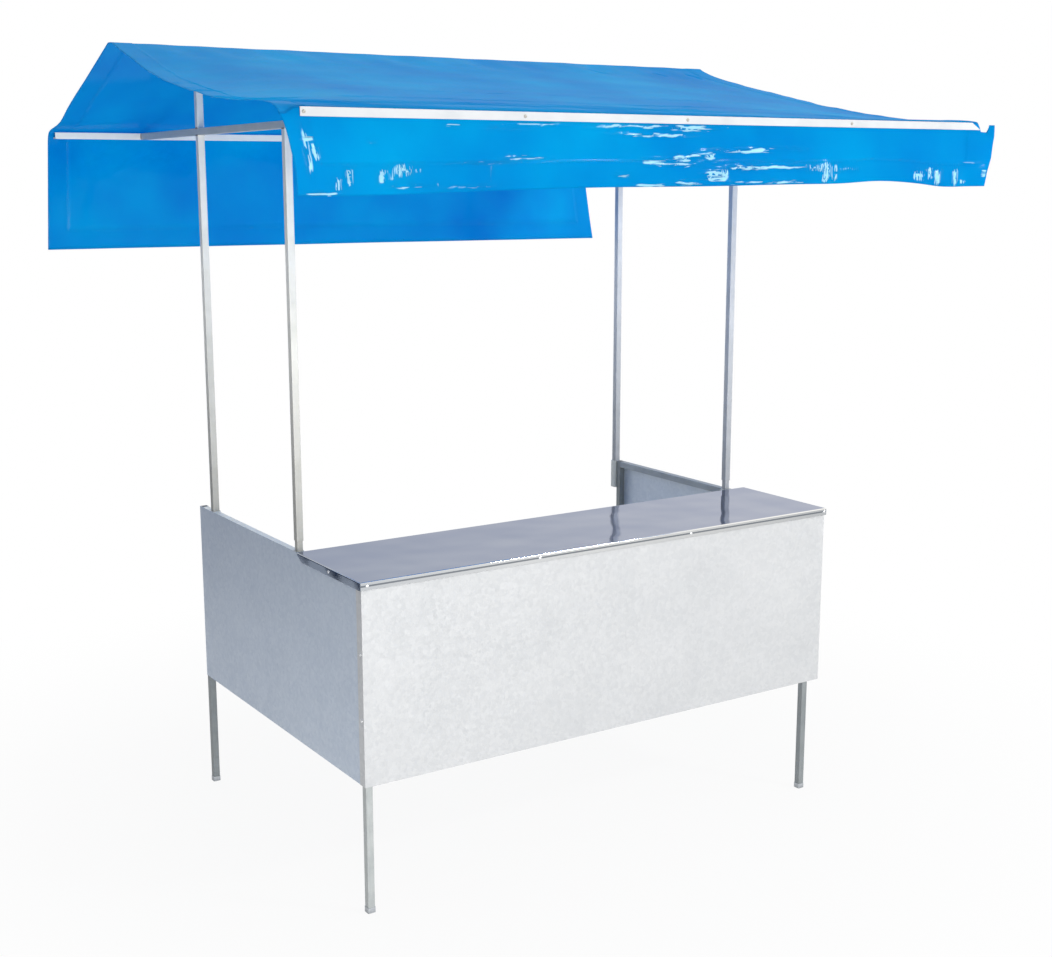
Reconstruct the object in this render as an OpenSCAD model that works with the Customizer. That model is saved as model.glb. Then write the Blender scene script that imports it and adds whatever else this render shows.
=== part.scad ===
// A knock-down market stall: a sheet-metal counter box on tube legs, four posts
// dropped into sockets in its side frames, and a roof frame under one tarp.
// Millimetres. X runs along the counter, Y from the customers' side to the
// seller's side, Z up. The origin is on the ground under the middle of the roof.

/* [Counter box] */
// Length of the front panel and the counter top
counter_l = 1500; // [1100:10:2200]
// Height of the counter top's surface above the ground
counter_h = 850; // [700:2:1050]
// Ground clearance under the panels
panel_clear = 332; // [150:1:450]
// How far the left side frame runs on past the middle of its back post
left_overrun = 84; // [46:1:200]
// How far the front panel runs on past the right side frame
right_overrun = 40; // [2:1:80]
// Thickness of the panel sheet
sheet_t = 1; // [0.6:0.1:2]
// Width of the hem folded back under the bottom rails
hem_w = 14; // [6:1:18]
// Width of the front panel's ends, folded back round the corners
flange_w = 26; // [10:1:40]

/* [Counter top] */
// Depth of the counter top, front to back
top_d = 354; // [200:1:500]
// Thickness of the deck
deck_t = 2; // [1:0.1:3]
// Height of the rim folded down over the panels
rim_h = 20; // [12:1:40]
// Thickness of the rim
rim_t = 1; // [0.6:0.1:2]
// Clearance between the rim and the panels
rim_gap = 3; // [0.2:0.1:5]
// Outside radius of the rim's fold
fold_r = 3; // [1.5:0.1:6]
// Radius of the back corners, seen from above
corner_r = 8; // [4:0.5:20]
// Length that the end rims are cut back by at their lower back corner
rim_slant = 32; // [10:1:60]
// Clearance of the back rim's notches beside the side frames
notch_gap = 1; // [0.5:0.5:5]

/* [Tubes] */
// Outside width of the square tubes
tube = 19; // [15:0.5:25]
// Wall of the square tubes
tube_wall = 1.2; // [0.8:0.1:2]
// Outside corner radius of the square tubes
tube_r = 1.8; // [1:0.1:3]

/* [Feet] */
// Height of the foot caps
foot_h = 14; // [8:1:40]
// Wall of the foot caps
foot_wall = 1.2; // [0.8:0.1:2.5]

/* [Posts and sockets] */
// Clearance between the counter top's back edge and the front posts
post_clear = 11.5; // [6:0.5:100]
// Distance between the front and back posts, middle to middle
post_gap = 566; // [400:1:800]
// Length of a post held in its socket
socket_l = 90; // [40:1:160]
// Length of the front posts' spigots that shows above the top rails
spigot_show = 27; // [0:1:60]
// How much narrower a spigot is than its post
spigot_step = 2.8; // [2.5:0.1:6]
// Wall of the sockets
socket_wall = 2.2; // [1:0.1:2.5]
// Clearance between a post and its socket, on each side
socket_gap = 0.8; // [0.2:0.1:1.2]
// Thickness of the sockets' closed ends
socket_floor = 2; // [1:0.5:4]

/* [Roof frame] */
// Length of the eave bars
roof_l = 2000; // [1700:10:2600]
// How far the ridge bar stops short of the eave bars at the left end
ridge_short = 100; // [0:1:200]
// Height of the middle of the front eave bar above the ground
front_eave_h = 1925; // [1600:1:2300]
// How much the arms fall from the front eave bar to the back one
arm_fall = 18; // [0:1:60]
// Height of the middle of the ridge bar above the ground
ridge_h = 2127; // [2000:1:2600]
// Distance from the front posts forward to the front eave bar
front_reach = 616; // [300:1:900]
// Distance from the back posts back to the back eave bar
back_reach = 456; // [200:1:700]
// Height of the batten that clamps the tarp
batten_h = 19; // [12:1:30]
// Thickness of the batten
batten_t = 3; // [2:0.5:6]
// How far the batten's left end stops short of the eave bar's
batten_short = 8; // [0:1:30]
// How far the batten's right end runs on past the eave bar
batten_overrun = 27; // [0:1:30]
// Length that the batten's right end is cut back by at its top corner
batten_cut = 34; // [0:1:60]

/* [Tarp] */
// Width of the tarp along the ridge
tarp_w = 2066; // [1760:2:2700]
// Thickness of the tarp as modelled
tarp_t = 2; // [1:0.1:4]
// Clearance between the tarp and the bars it lies on
tarp_gap = 0.3; // [0.2:0.1:1]
// Drop of the front valance below the middle of the front eave bar
front_drop = 148; // [60:1:400]
// Drop of the back valance below the middle of the back eave bar
back_drop = 323; // [60:1:600]
// Sag of the front slope at mid span
front_sag = 24; // [0:1:60]
// Sag of the back slope at mid span
back_sag = 5; // [0:1:30]

/* [Hidden] */

half = tube / 2;
round_fn = 32;
sag_steps = 16;
// How far a cutting shape reaches past the face that it cuts
cut = 1;
// Longer than the stall in any direction
beyond = 4000;

// Roof, front to back: everything is placed from the front eave bar's middle
span = front_reach + post_gap + back_reach;
front_skin = half + tarp_gap + tarp_t + batten_t;
back_skin = half + tarp_gap + tarp_t;
front_eave_y = front_skin - (span + front_skin + back_skin) / 2;
front_post = front_eave_y + front_reach;
back_post = front_post + post_gap;
back_eave_y = back_post + back_reach;

// Counter box
panel_face = front_post - half - post_clear - top_d;
panel_left = -counter_l / 2;
panel_right = counter_l / 2;
frame_front = panel_face + sheet_t;
frame_top = counter_h - deck_t;
left_x = panel_left + 2 * sheet_t + half;
right_x = panel_right - right_overrun - sheet_t - half;
front_leg_y = frame_front + half;
left_back_leg_y = back_post + left_overrun - half;
bottom_rail_z = panel_clear + sheet_t + half;
top_rail_z = frame_top - half;
top_back = panel_face + top_d;

// Sockets: the back posts enter theirs whole, the front ones by a narrower spigot
spigot = tube - spigot_step;
socket_half = half + socket_gap + socket_wall;
spigot_socket_half = spigot / 2 + socket_gap + socket_wall;
// The back sockets' outer faces are flush with the side frames, behind the panels
left_post_x = left_x + socket_half - half;
right_post_x = right_x - socket_half + half;
post_foot = frame_top - socket_l + socket_floor;
// The shorter right frame ends in a leg with the back post's socket behind it
right_back_leg_y = back_post - socket_half - half;

// Roof heights
back_eave_h = front_eave_h - arm_fall;
arm_tilt = atan(arm_fall / span);
front_over = front_eave_h + half + tarp_gap;
back_over = back_eave_h + half + tarp_gap;
ridge_over = ridge_h + half + tarp_gap;

module tube_outline(w, r) {
    square([w, w - 2 * r], center = true);
    square([w - 2 * r, w], center = true);
    for (x = [-1, 1], y = [-1, 1])
        translate([x * (w / 2 - r), y * (w / 2 - r)]) circle(r, $fn = round_fn);
}

module tube_section(w, wall, r) {
    difference() {
        tube_outline(w, r);
        tube_outline(w - 2 * wall, r - wall / 2);
    }
}

module upright(x, y, low, high) {
    translate([x, y, low])
        linear_extrude(high - low) tube_section(tube, tube_wall, tube_r);
}

module rail_x(y, z, left, right) {
    translate([left, y, z]) rotate([90, 0, 90])
        linear_extrude(right - left) tube_section(tube, tube_wall, tube_r);
}

module rail_y(x, z, front, back) {
    translate([x, back, z]) rotate([90, 0, 0])
        linear_extrude(back - front) tube_section(tube, tube_wall, tube_r);
}

// Flat panel in the XZ plane, its ends folded back round the corners
// and its lower edge folded back under the rail
module front_panel() color("gainsboro") {
    translate([panel_left, panel_face, panel_clear])
        cube([counter_l, sheet_t, frame_top - panel_clear]);
    for (x = [panel_left, panel_right - sheet_t])
        translate([x, frame_front, panel_clear])
            cube([sheet_t, flange_w, frame_top - panel_clear]);
    translate([left_x + half, frame_front, panel_clear])
        cube([right_x - left_x - tube, hem_w, sheet_t]);
}

// Side panel: a flat sheet whose inner face is at x, with the same hem between its legs
module side_panel(x, inward, back) color("lightsteelblue") {
    translate([inward > 0 ? x - sheet_t : x, frame_front, panel_clear])
        cube([sheet_t, back - frame_front, frame_top - panel_clear]);
    translate([inward > 0 ? x : x - hem_w, frame_front + tube, panel_clear])
        cube([hem_w, back - frame_front - 2 * tube, sheet_t]);
}

module leg(x, y) color("silver") upright(x, y, foot_wall, frame_top);

// Pressed cap that closes a leg and carries it on the ground
module foot_cap(x, y) color("gray") {
    translate([x, y, 0]) difference() {
        linear_extrude(foot_h) tube_outline(tube + 2 * foot_wall, tube_r + foot_wall);
        translate([0, 0, foot_wall]) linear_extrude(foot_h) tube_outline(tube, tube_r);
    }
}

// Square socket let into the top rail for a tube w wide, open at the top and closed below
module socket(x, y, w) color("darkgray") {
    bore = w + 2 * socket_gap;
    translate([x, y, frame_top - socket_l]) difference() {
        linear_extrude(socket_l) tube_outline(bore + 2 * socket_wall, tube_r + socket_wall);
        translate([0, 0, socket_floor]) linear_extrude(socket_l) tube_outline(bore, tube_r);
    }
}

// Places things on the arms' middle line, which falls from the front eave bar to the back one
module along_arms()
    translate([0, front_eave_y, front_eave_h]) rotate([-arm_tilt, 0, 0]) children();

// Everything that lies higher than lift above the arms' middle line
module above_arms(lift)
    along_arms() translate([-beyond / 2, 0, lift]) cube([beyond, span, beyond]);

// Upright tube whose top is cut to fit under the arm
module post_tube(x, y, low)
    difference() {
        upright(x, y, low, front_eave_h);
        above_arms(-half);
    }

module plain_post(x) color("whitesmoke") post_tube(x, back_post, post_foot);

// Post whose lower end is drawn down to a spigot, with a flat shoulder above it
module spigot_post(x) color("whitesmoke") {
    shoulder = frame_top + spigot_show;
    post_tube(x, front_post, shoulder);
    translate([x, front_post, post_foot])
        linear_extrude(shoulder - post_foot) tube_section(spigot, tube_wall, tube_r);
    translate([x, front_post, shoulder]) linear_extrude(tube_wall) difference() {
        tube_outline(tube, tube_r);
        tube_outline(spigot - 2 * tube_wall, tube_r - tube_wall / 2);
    }
}

// Tube laid over the posts, its ends cut upright against the eave bars
module arm(x) color("silver")
    intersection() {
        along_arms() rail_y(x, 0, 0, span);
        translate([x - tube, front_eave_y + half, 0]) cube([2 * tube, span - tube, beyond]);
    }

module king_post(x) color("silver")
    intersection() {
        upright(x, back_post, back_eave_h, ridge_h - half);
        above_arms(half);
    }

module roof_bar(y, z, short) color("whitesmoke")
    rail_x(y, z, short - roof_l / 2, roof_l / 2);

// Deck with rounded folds along the front and both ends, and rims turned down
module counter_top() color("lightslategray") {
    left = panel_left - rim_gap - rim_t;
    right = panel_right + rim_gap + rim_t;
    front = panel_face - rim_gap - rim_t;
    difference() {
        intersection() {
            translate([0, 0, counter_h - rim_h])
                linear_extrude(rim_h) deck_outline(left, right, front, top_back, corner_r);
            rim_profile_x(front, left, right);
            rim_profile_y(left, right, front);
        }
        translate([0, 0, counter_h - rim_h - cut]) linear_extrude(rim_h - deck_t + cut)
            deck_outline(left + rim_t, right - rim_t, front + rim_t, top_back - rim_t, corner_r - rim_t);
        // the end rims are cut away on the slant towards the back
        translate([left - cut, 0, 0]) rotate([90, 0, 90]) linear_extrude(right - left + 2 * cut)
            polygon([
                [top_back - rim_t - rim_slant, counter_h - rim_h],
                [top_back - rim_t - rim_slant, counter_h - rim_h - cut],
                [top_back - rim_t, counter_h - rim_h - cut],
                [top_back - rim_t, counter_h - fold_r]
            ]);
        // notches that let the back rim down between the side frames
        notch(panel_left - rim_gap, left_x + half + notch_gap);
        notch(right_x - half - notch_gap, right_x + half + sheet_t + notch_gap);
    }
}

module notch(from, to)
    translate([from, top_back - corner_r, counter_h - rim_h - cut])
        cube([to - from, corner_r + cut, rim_h - deck_t + cut]);

// Rectangle whose two back corners are rounded
module deck_outline(left, right, front, back, r) {
    translate([left, front]) square([right - left, back - r - front]);
    translate([left + r, front]) square([right - left - 2 * r, back - front]);
    for (x = [left + r, right - r]) translate([x, back - r]) circle(r, $fn = round_fn);
}

// Solid block with a rounded top front edge, for the long fold
module rim_profile_x(front, left, right) {
    translate([left, 0, 0]) rotate([90, 0, 90]) linear_extrude(right - left) {
        translate([front + fold_r, counter_h - fold_r]) circle(fold_r, $fn = round_fn);
        translate([front, counter_h - rim_h]) square([top_back - front, rim_h - fold_r]);
        translate([front + fold_r, counter_h - rim_h]) square([top_back - front - fold_r, rim_h]);
    }
}

// Solid block with both top end edges rounded, for the short folds
module rim_profile_y(left, right, front) {
    translate([0, top_back, 0]) rotate([90, 0, 0]) linear_extrude(top_back - front) {
        for (x = [left + fold_r, right - fold_r])
            translate([x, counter_h - fold_r]) circle(fold_r, $fn = round_fn);
        translate([left, counter_h - rim_h]) square([right - left, rim_h - fold_r]);
        translate([left + fold_r, counter_h - rim_h]) square([right - left - 2 * fold_r, rim_h]);
    }
}

// Flat bar screwed through the tarp into the eave bar, its right end cut on the slant
module front_batten() color("white") {
    outer = front_eave_y - half - tarp_gap - tarp_t;
    left = batten_short - roof_l / 2;
    right = roof_l / 2 + batten_overrun;
    translate([0, outer, front_eave_h]) rotate([90, 0, 0]) linear_extrude(batten_t)
        polygon([
            [left, -batten_h / 2], [right, -batten_h / 2],
            [right - batten_cut, batten_h / 2], [left, batten_h / 2]
        ]);
}

// The tarp's inner line, front to back, as [y, z] points
front_line = front_eave_y - half - tarp_gap;
back_line = back_eave_y + half + tarp_gap;
ridge_front = back_post - half;
ridge_back = back_post + half;

function sagged(a, b, sag) = [
    for (i = [0:sag_steps]) let (s = i / sag_steps)
        [a[0] + (b[0] - a[0]) * s, a[1] + (b[1] - a[1]) * s - sag * 4 * s * (1 - s)]
];

tarp_line = concat(
    [[front_line, front_eave_h - front_drop]],
    sagged([front_line, front_over], [ridge_front, ridge_over], front_sag),
    sagged([ridge_back, ridge_over], [back_line, back_over], back_sag),
    [[back_line, back_eave_h - back_drop]]
);

function unit(v) = v / norm(v);
function left_normal(a, b) = let (d = unit(b - a)) [-d[1], d[0]];

// Each point moved outward by t, mitred between its two neighbouring stretches
function offset_line(line, t) = [
    for (i = [0:len(line) - 1])
        let (
            before = i == 0 ? left_normal(line[0], line[1]) : left_normal(line[i - 1], line[i]),
            after = i == len(line) - 1 ? before : left_normal(line[i], line[i + 1]),
            mid = unit(before + after)
        )
        line[i] + mid * t / (mid * before)
];

function reversed(list) = [for (i = [len(list) - 1:-1:0]) list[i]];

module tarp_section() {
    polygon(concat(tarp_line, reversed(offset_line(tarp_line, tarp_t))));
}

// The part of the tarp whose section lies in the box from [y0, z0] to [y1, z1]
module tarp_field(y0, y1, z0, z1) color("dodgerblue") {
    translate([-tarp_w / 2, 0, 0]) rotate([90, 0, 90]) linear_extrude(tarp_w)
        intersection() {
            tarp_section();
            translate([y0, z0]) square([y1 - y0, z1 - z0]);
        }
}

front_panel();
side_panel(left_x - half, 1, left_back_leg_y + half);  // left_panel
side_panel(right_x + half, -1, right_back_leg_y + half);  // right_panel
leg(left_x, front_leg_y);  // front_left_leg
leg(right_x, front_leg_y);  // front_right_leg
leg(left_x, left_back_leg_y);  // back_left_leg
leg(right_x, right_back_leg_y);  // back_right_leg
foot_cap(left_x, front_leg_y);  // front_left_foot
foot_cap(right_x, front_leg_y);  // front_right_foot
foot_cap(left_x, left_back_leg_y);  // back_left_foot
foot_cap(right_x, right_back_leg_y);  // back_right_foot
color("silver") rail_x(front_leg_y, top_rail_z, left_x + half, right_x - half);  // front_top_rail
color("silver") rail_x(front_leg_y, bottom_rail_z, left_x + half, right_x - half);  // front_bottom_rail
color("silver") rail_y(left_x, bottom_rail_z, front_leg_y + half, left_back_leg_y - half);  // left_bottom_rail
color("silver") rail_y(right_x, bottom_rail_z, front_leg_y + half, right_back_leg_y - half);  // right_bottom_rail
color("silver") rail_y(left_x, top_rail_z, front_leg_y + half, front_post - spigot_socket_half);  // left_top_rail_front
color("silver") rail_y(left_x, top_rail_z, front_post + spigot_socket_half, back_post - socket_half);  // left_top_rail_middle
color("silver") rail_y(left_x, top_rail_z, back_post + socket_half, left_back_leg_y - half);  // left_top_rail_back
color("silver") rail_y(right_x, top_rail_z, front_leg_y + half, front_post - spigot_socket_half);  // right_top_rail_front
color("silver") rail_y(right_x, top_rail_z, front_post + spigot_socket_half, right_back_leg_y - half);  // right_top_rail_middle
color("silver") rail_x(top_back - rim_t - half, top_rail_z, left_x + half, right_x - half);  // counter_back_rail
counter_top();
socket(left_post_x, front_post, spigot);  // front_left_socket
socket(right_post_x, front_post, spigot);  // front_right_socket
socket(left_post_x, back_post, tube);  // back_left_socket
socket(right_post_x, back_post, tube);  // back_right_socket
spigot_post(left_post_x);  // front_left_post
spigot_post(right_post_x);  // front_right_post
plain_post(left_post_x);  // back_left_post
plain_post(right_post_x);  // back_right_post
arm(left_post_x);  // left_arm
arm(right_post_x);  // right_arm
king_post(left_post_x);  // left_king_post
king_post(right_post_x);  // right_king_post
roof_bar(back_post, ridge_h, ridge_short);  // ridge_bar
roof_bar(front_eave_y, front_eave_h, 0);  // front_eave_bar
roof_bar(back_eave_y, back_eave_h, 0);  // back_eave_bar
front_batten();
tarp_field(-beyond, back_post, front_over, beyond);  // tarp_front_slope
tarp_field(back_post, beyond, back_over, beyond);  // tarp_back_slope
tarp_field(-beyond, 0, 0, front_over);  // tarp_front_valance
tarp_field(0, beyond, 0, back_over);  // tarp_back_valance
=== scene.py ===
import math

import bmesh
import bpy
import numpy as np
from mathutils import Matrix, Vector


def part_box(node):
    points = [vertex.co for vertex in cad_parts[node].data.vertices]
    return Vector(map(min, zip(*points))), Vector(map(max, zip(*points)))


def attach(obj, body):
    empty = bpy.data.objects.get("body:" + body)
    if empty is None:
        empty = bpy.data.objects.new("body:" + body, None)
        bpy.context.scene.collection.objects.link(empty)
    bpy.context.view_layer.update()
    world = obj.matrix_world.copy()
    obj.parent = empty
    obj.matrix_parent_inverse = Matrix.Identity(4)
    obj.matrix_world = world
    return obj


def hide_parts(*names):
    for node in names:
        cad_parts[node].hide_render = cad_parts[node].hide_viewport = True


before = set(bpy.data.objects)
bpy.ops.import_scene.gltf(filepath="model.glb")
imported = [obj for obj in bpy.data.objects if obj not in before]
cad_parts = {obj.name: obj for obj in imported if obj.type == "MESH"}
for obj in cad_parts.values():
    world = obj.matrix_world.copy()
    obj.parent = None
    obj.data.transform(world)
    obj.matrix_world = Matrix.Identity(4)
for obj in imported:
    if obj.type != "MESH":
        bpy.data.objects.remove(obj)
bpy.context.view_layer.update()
scene = bpy.context.scene

# --------------------------------------
# Camera. A standing customer's view from the front left, a little above the
# counter, with a normal lens, so that the counter's front and left side show.
eye = (-2.344, -3.7285, 1.808)
look_down = 11.37
turned_right = 33.19
lens_mm = 52.42
sensor_mm = 36.0

camera_data = bpy.data.cameras.new("camera")
camera_data.sensor_width = sensor_mm
camera_data.lens = lens_mm
camera = bpy.data.objects.new("camera", camera_data)
camera.location = eye
camera.rotation_euler = (math.radians(90 - look_down), 0, math.radians(-turned_right))
scene.collection.objects.link(camera)
scene.camera = camera
scene.view_settings.view_transform = "Standard"

# --------------------------------------
# Studio: a paper floor that runs out to white, in an even light room. A hard key
# lamp and a tall strip lamp stand on the right, softboxes in front, behind and
# above, and a low fill lamp lights the frame under the roof.


def add_node(tree, kind, values=None, links=None, **settings):
    """Adds one node, sets its properties and input values, and links its inputs."""
    made = tree.nodes.new(kind)
    for name, value in settings.items():
        setattr(made, name, value)
    for socket, value in (values or {}).items():
        made.inputs[socket].default_value = value
    for socket, source in (links or {}).items():
        tree.links.new(source, made.inputs[socket])
    return made


def paint(hex_colour):
    """An sRGB hex colour as linear red, green, blue and a full alpha."""
    parts = [int(hex_colour[i:i + 2], 16) / 255 for i in (1, 3, 5)]
    linear = [c / 12.92 if c <= 0.04045 else ((c + 0.055) / 1.055) ** 2.4 for c in parts]
    return (*linear, 1.0)


def add_soft_lamp(name, place, aim, width, height, watts):
    """A rectangular softbox at place that faces aim."""
    data = bpy.data.lights.new(name, "AREA")
    data.shape = "RECTANGLE"
    data.size = width
    data.size_y = height
    data.energy = watts
    lamp = bpy.data.objects.new(name, data)
    lamp.location = place
    lamp.rotation_euler = (Vector(aim) - Vector(place)).to_track_quat("-Z", "Y").to_euler()
    scene.collection.objects.link(lamp)


add_soft_lamp("key_lamp", (2.9, -4.2, 3.6), (0, 0, 1.1), 0.75, 0.55, 105)
add_soft_lamp("strip_lamp", (4.6, -2.6, 1.6), (0, -0.6, 1.6), 0.20, 2.6, 30)
add_soft_lamp("front_softbox", (-1.0, -6.0, 0.9), (0, 0, 1.4), 3.0, 1.8, 100)
add_soft_lamp("top_softbox", (0, -0.6, 5.0), (0, 0, 2.0), 3.0, 3.0, 28)
add_soft_lamp("back_softbox", (-0.6, 6.0, 1.6), (0, 0.8, 1.8), 3.4, 2.6, 110)
add_soft_lamp("fill_lamp", (-1.5, -3.2, 0.35), (-0.5, 0.3, 1.95), 1.2, 0.6, 26)

ambient = 0.75
world = bpy.data.worlds.new("light_room")
world.use_nodes = True
scene.world = world
tree = world.node_tree
tree.nodes.clear()


def seen_white(tree):
    """1 for the rays that see white: the camera's, mirrored ones and those through glass."""
    rays = add_node(tree, "ShaderNodeLightPath")
    seen = add_node(tree, "ShaderNodeMath", None,
                    {0: rays.outputs["Is Camera Ray"], 1: rays.outputs["Is Glossy Ray"]},
                    operation="MAXIMUM")
    return add_node(tree, "ShaderNodeMath", None,
                    {0: seen.outputs[0], 1: rays.outputs["Is Transmission Ray"]},
                    operation="MAXIMUM").outputs[0]


strength = add_node(tree, "ShaderNodeMapRange", {"To Min": ambient, "To Max": 1.0},
                    {"Value": seen_white(tree)})
background = add_node(tree, "ShaderNodeBackground", {"Color": (1, 1, 1, 1)},
                      {"Strength": strength.outputs[0]})
add_node(tree, "ShaderNodeOutputWorld", None, {"Surface": background.outputs[0]})


def add_stage_sheet(name, corners, material):
    """One flat four-cornered sheet of the studio."""
    mesh = bpy.data.meshes.new(name)
    mesh.from_pydata(corners, [], [(0, 1, 2, 3)])
    mesh.materials.append(material)
    sheet = bpy.data.objects.new(name, mesh)
    scene.collection.objects.link(sheet)
    return sheet


def new_material(name):
    """A new material and its emptied node tree."""
    material = bpy.data.materials.new(name)
    material.use_nodes = True
    material.node_tree.nodes.clear()
    return material, material.node_tree


# The paper is mid grey to the light that bounces off it, and white to the eye
paper, tree = new_material("studio_paper")
place = add_node(tree, "ShaderNodeTexCoord").outputs["Object"]
distance = add_node(tree, "ShaderNodeVectorMath", None, {0: place}, operation="LENGTH")
fade = add_node(tree, "ShaderNodeMapRange", {"From Min": 0.7, "From Max": 2.4, "To Min": 0.92},
                {"Value": distance.outputs["Value"]}, interpolation_type="SMOOTHSTEP")
white_share = add_node(tree, "ShaderNodeMath", None,
                       {0: seen_white(tree), 1: fade.outputs[0]}, operation="MULTIPLY")
matt = add_node(tree, "ShaderNodeBsdfDiffuse", {"Color": paint("#C8C8C7")})
white = add_node(tree, "ShaderNodeEmission", {"Color": (1, 1, 1, 1), "Strength": 1.0})
mixed = add_node(tree, "ShaderNodeMixShader", None,
                 {0: white_share.outputs[0], 1: matt.outputs[0], 2: white.outputs[0]})
add_node(tree, "ShaderNodeOutputMaterial", None, {"Surface": mixed.outputs[0]})
reach = 30.0
floor_corners = [(-reach, -reach, 0), (reach, -reach, 0), (reach, reach, 0), (-reach, reach, 0)]
add_stage_sheet("paper_floor", floor_corners, paper)

# A dark card stands on the left, out of the camera's sight, and keeps light off that side
card, tree = new_material("card")
matt = add_node(tree, "ShaderNodeBsdfDiffuse", {"Color": paint("#4A5A74")})
add_node(tree, "ShaderNodeOutputMaterial", None, {"Surface": matt.outputs[0]})
card_x, card_front, card_back, card_foot, card_top = -2.1, 0.0, 6.5, 0.02, 2.2
card_corners = [(card_x, card_front, card_foot), (card_x, card_back, card_foot),
                (card_x, card_back, card_top), (card_x, card_front, card_top)]
dark_card = add_stage_sheet("dark_card", card_corners, card)
dark_card.visible_camera = False

# --------------------------------------
# Counter panels: hot-dip galvanised steel sheet, guillotined and folded, with
# the front sheet's ends turned round the corners over the side sheets.


def finish_material(name):
    """A new material, its tree and the Object coordinates that its patterns follow."""
    material, made = new_material(name)
    return material, made, add_node(made, "ShaderNodeTexCoord").outputs["Object"]


def end_finish(made, values, links):
    """Ends a finish with one Principled shader that has those values and patterns."""
    skin = add_node(made, "ShaderNodeBsdfPrincipled", values, links)
    add_node(made, "ShaderNodeOutputMaterial", None, {"Surface": skin.outputs[0]})


def coat_node(name, material):
    """Gives a CAD node that finish."""
    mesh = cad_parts[name].data
    mesh.materials.clear()
    mesh.materials.append(material)


# Zinc freezes in spangles, flat crystals with sharp borders, which the eye sees
# as faint patches of lighter and darker grey under a dull shine, with fine grain;
# the thin sheet also bellies slightly between its rails.
spangle_mm = 9
cloud_mm = 160
grain_mm = 2.2
belly_mm = 420


def sheet_finish(name, dark, light):
    """Spangled zinc-coated sheet between those two colours."""
    material, made, at = finish_material(name)
    spangle = add_node(made, "ShaderNodeTexVoronoi", {"Scale": 1000 / spangle_mm}, {"Vector": at})
    crystal = add_node(made, "ShaderNodeSeparateColor", None, {0: spangle.outputs["Color"]})
    cloud = add_node(made, "ShaderNodeTexNoise", {"Scale": 1000 / cloud_mm, "Detail": 4.0},
                     {"Vector": at})
    grain = add_node(made, "ShaderNodeTexNoise", {"Scale": 1000 / grain_mm, "Detail": 3.0},
                     {"Vector": at})
    tone = add_node(made, "ShaderNodeMath", {1: 0.30}, {0: crystal.outputs[0]},
                    operation="MULTIPLY")
    for pattern, share in ((cloud, 0.45), (grain, 0.30)):
        tone = add_node(made, "ShaderNodeMath", {1: share},
                        {0: pattern.outputs["Fac"], 2: tone.outputs[0]},
                        operation="MULTIPLY_ADD")
    zinc = add_node(made, "ShaderNodeValToRGB", None, {0: tone.outputs[0]})
    for stop, share, colour in zip(zinc.color_ramp.elements, (0.25, 0.90), (dark, light)):
        stop.position, stop.color = share, paint(colour)
    dull = add_node(made, "ShaderNodeMapRange", {"To Min": 0.36, "To Max": 0.52},
                    {"Value": crystal.outputs[1]})
    belly = add_node(made, "ShaderNodeTexNoise", {"Scale": 1000 / belly_mm, "Detail": 1.0},
                     {"Vector": at})
    belly_bump = add_node(made, "ShaderNodeBump", {"Strength": 1.0, "Distance": 0.006},
                          {"Height": belly.outputs["Fac"]})
    grain_bump = add_node(made, "ShaderNodeBump", {"Strength": 0.2, "Distance": 0.0004},
                          {"Height": grain.outputs["Fac"], "Normal": belly_bump.outputs[0]})
    end_finish(made, {"Metallic": 0.4},
               {"Base Color": zinc.outputs[0], "Roughness": dull.outputs[0],
                "Normal": grain_bump.outputs[0]})
    return material


# The side sheets are drawn a little bluer than the front one, as painted cool light on those sides
coat_node("front_panel", sheet_finish("galvanised_sheet", "#BDBFC1", "#CECFD0"))
side_sheet_painted_cool_light = sheet_finish("galvanised_sheet_painted_cool_light", "#B8C4D4", "#CAD4E0")
for panel in ("left_panel", "right_panel"):
    coat_node(panel, side_sheet_painted_cool_light)

# --------------------------------------
# Tube frame: square galvanised steel tube, rolled and seam-welded, sawn to
# length and welded into side frames, with sockets that take the posts.

# Rolling leaves long faint lines along the tube, and the zinc is brighter than on
# the sheet, with duller patches.
line_mm = 1.6
patch_mm = 70


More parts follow.
